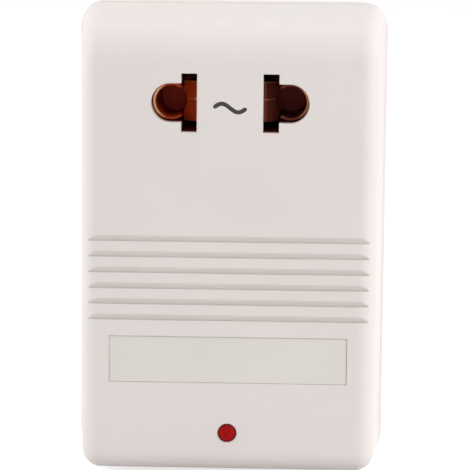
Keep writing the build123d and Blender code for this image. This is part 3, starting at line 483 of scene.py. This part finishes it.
def wave_sign():
    """Sign for alternating current between the openings, one printed wave of the face's ink.

    The middle line is a sine: height is the amplitude, which is negative so that the crest comes first,
    times the sine of pi times the share of the half length. Each section across it is a flat ellipse
    that narrows to nothing over the rounded ends.
    """
    half_length, amplitude, half_stroke, half_thickness = 2.6, -0.66, 0.33, 0.02
    narrowest = 0.01
    middle_z = 59.2
    share = np.sin(np.linspace(-math.pi / 2, math.pi / 2, 72))
    x = half_length * share
    slope = amplitude * math.pi / half_length * np.cos(math.pi * share)
    across = np.stack([-slope, np.ones_like(slope)], axis=-1) / np.sqrt(1 + slope**2)[:, None]
    to_end = np.clip((half_length - np.abs(x)) / half_stroke, 0.0, 1.0)
    width = np.maximum(half_stroke * np.sqrt(1 - (1 - to_end) ** 2), narrowest)
    turn = np.linspace(0, 2 * math.pi, 12, endpoint=False)
    sideways = width[:, None] * np.cos(turn)
    rings = np.stack([x[:, None] + across[:, :1] * sideways,
                      face_y + half_thickness * np.sin(turn) + 0 * sideways,
                      middle_z + amplitude * np.sin(math.pi * share)[:, None] + across[:, 1:] * sideways],
                     axis=-1)
    new_piece("wave_sign", skin("wave_sign", rings, 60.0), ink)


def wall_number(name, digits, middle_z):
    """Printed number on the right-hand wall, above or below the selector.

    The text's own x runs along Y and its y along Z. Its x coordinate is the wall's, which falls by the
    tangent of the wall's draft for each millimetre behind the parting plane.
    """
    letters = bpy.data.curves.new(name, "FONT")
    letters.body = digits
    letters.size = number_height
    letters.extrude = ink_height
    letters.align_x = "CENTER"
    letters.align_y = "CENTER"
    letters.resolution_u = 6
    carrier = bpy.data.objects.new(name, letters)
    scene.collection.objects.link(carrier)
    shape = carrier.evaluated_get(bpy.context.evaluated_depsgraph_get())
    mesh = bpy.data.meshes.new_from_object(shape)
    bpy.data.objects.remove(carrier)
    bpy.data.curves.remove(letters)
    flat = np.empty(len(mesh.vertices) * 3)
    mesh.vertices.foreach_get("co", flat)
    u, v, w = flat.reshape(-1, 3).T
    v = v - (v.max() + v.min()) / 2
    y = selector_y + u
    wall_x = wall_parting_x - (y - parting_y) * math.tan(math.radians(wall_draft_degrees))
    mesh.vertices.foreach_set("co", (np.stack([wall_x + w, y, middle_z + v], axis=-1) * MM).ravel())
    merged = bmesh.new()
    merged.from_mesh(mesh)
    bmesh.ops.remove_doubles(merged, verts=merged.verts, dist=weld_distance * MM)
    bmesh.ops.recalc_face_normals(merged, faces=merged.faces)
    merged.to_mesh(mesh)
    merged.free()
    new_piece(name, mesh, ink)


number_height, ink_height, weld_distance = 3.2, 0.03, 0.001
face_y = -21.0
parting_y = -3.0
wall_parting_x = cad_high[0] * millimetres_per_metre
wall_draft_degrees = 1.0
selector_y = 9.0
upper_number_z, lower_number_z = 66.2, 45.7
ink = pad_print()
pilot_lamp()
wave_sign()
wall_number("upper_voltage_number", "220", upper_number_z)
wall_number("lower_voltage_number", "110", lower_number_z)


# Camera, in millimetres, fitted to the photograph's openings, label, grooves and outline

aim_x, aim_z = 0.98, 39.17
distance = 350.0
pixels_per_mm = 6.338
picture_pixels = 470
roll_degrees, pitch_degrees, yaw_degrees = 0.563, 7.27, -1.82
turn = (Matrix.Rotation(math.radians(roll_degrees), 3, "Y")
        @ Matrix.Rotation(math.radians(pitch_degrees), 3, "X")
        @ Matrix.Rotation(math.radians(yaw_degrees), 3, "Z")).transposed()
lens = bpy.data.cameras.new("photo_camera")
lens.sensor_width = 36.0
lens.lens = distance * pixels_per_mm * lens.sensor_width / picture_pixels
lens.clip_start, lens.clip_end = 0.01, 20.0
camera = bpy.data.objects.new("photo_camera", lens)
place = turn @ Vector((0, -distance, 0)) + Vector((aim_x, face_y, aim_z))
camera.matrix_world = (Matrix.Translation(place * MM)
                       @ (turn @ Matrix.Rotation(math.radians(90), 3, "X")).to_4x4())
scene.collection.objects.link(camera)
scene.camera = camera


# Floor, soft lamps and surroundings

def seen_directly(tree):
    """1 for rays from the camera or off a mirror-like or clear surface, otherwise 0."""
    path = add(tree, "LightPath")
    seen = add(tree, "Math", {0: path.outputs["Is Camera Ray"], 1: path.outputs["Is Glossy Ray"]},
               operation="MAXIMUM").outputs[0]
    return add(tree, "Math", {0: seen, 1: path.outputs["Is Transmission Ray"]},
               operation="MAXIMUM").outputs[0]


def pale_floor():
    """Matt white board, with a glow for rays that see it directly, so that only shadows stay grey."""
    material = bpy.data.materials.new("matt_white_board")
    material.use_nodes = True
    tree = material.node_tree
    tree.nodes.clear()
    board = add(tree, "BsdfDiffuse", {"Color": linear("#D8D8D8")})
    glow = add(tree, "Emission", {"Color": white, "Strength": floor_glow})
    lit = add(tree, "AddShader", {0: board.outputs[0], 1: glow.outputs[0]})
    mixed = add(tree, "MixShader", {0: seen_directly(tree), 1: board.outputs[0], 2: lit.outputs[0]})
    add(tree, "OutputMaterial", {"Surface": mixed.outputs[0]})
    return material


floor_half = 3.0
white = (1, 1, 1, 1)
floor_glow, room_light, backdrop_light = 0.72, 0.47, 1.0
floor_mesh = bpy.data.meshes.new("floor")
floor_mesh.from_pydata([(-floor_half, -floor_half, 0), (floor_half, -floor_half, 0),
                        (floor_half, floor_half, 0), (-floor_half, floor_half, 0)], [], [(0, 1, 2, 3)])
floor_mesh.materials.append(pale_floor())
floor = bpy.data.objects.new("floor", floor_mesh)
scene.collection.objects.link(floor)

world = bpy.data.worlds.new("soft_room")
world.use_nodes = True
room = world.node_tree
room.nodes.clear()
around = add(room, "Background", {"Color": white, "Strength": room_light})
backdrop = add(room, "Background", {"Color": white, "Strength": backdrop_light})
both = add(room, "MixShader", {0: seen_directly(room), 1: around.outputs[0], 2: backdrop.outputs[0]})
add(room, "OutputWorld", {"Surface": both.outputs[0]})
scene.world = world


def soft_lamp(name, position, size, watts):
    """Square soft lamp that points at the middle of the housing."""
    lamp = bpy.data.lights.new(name, "AREA")
    lamp.shape = "SQUARE"
    lamp.size = size
    lamp.energy = watts
    lamp_object = bpy.data.objects.new(name, lamp)
    lamp_object.location = position
    aim = Vector((0, 0, housing_middle_z)) - Vector(position)
    lamp_object.rotation_euler = aim.to_track_quat("-Z", "Y").to_euler()
    scene.collection.objects.link(lamp_object)


housing_middle_z = 0.04
soft_lamp("left_lamp", (-0.8, -0.05, 0.15), 0.7, 5.3)
soft_lamp("right_lamp", (0.8, -0.05, 0.2), 0.7, 3.0)
soft_lamp("front_lamp", (0.6, -0.6, 0.45), 0.6, 2.8)
soft_lamp("top_lamp", (0.0, 0.05, 0.8), 0.7, 1.2)

scene.view_settings.view_transform = "Standard"
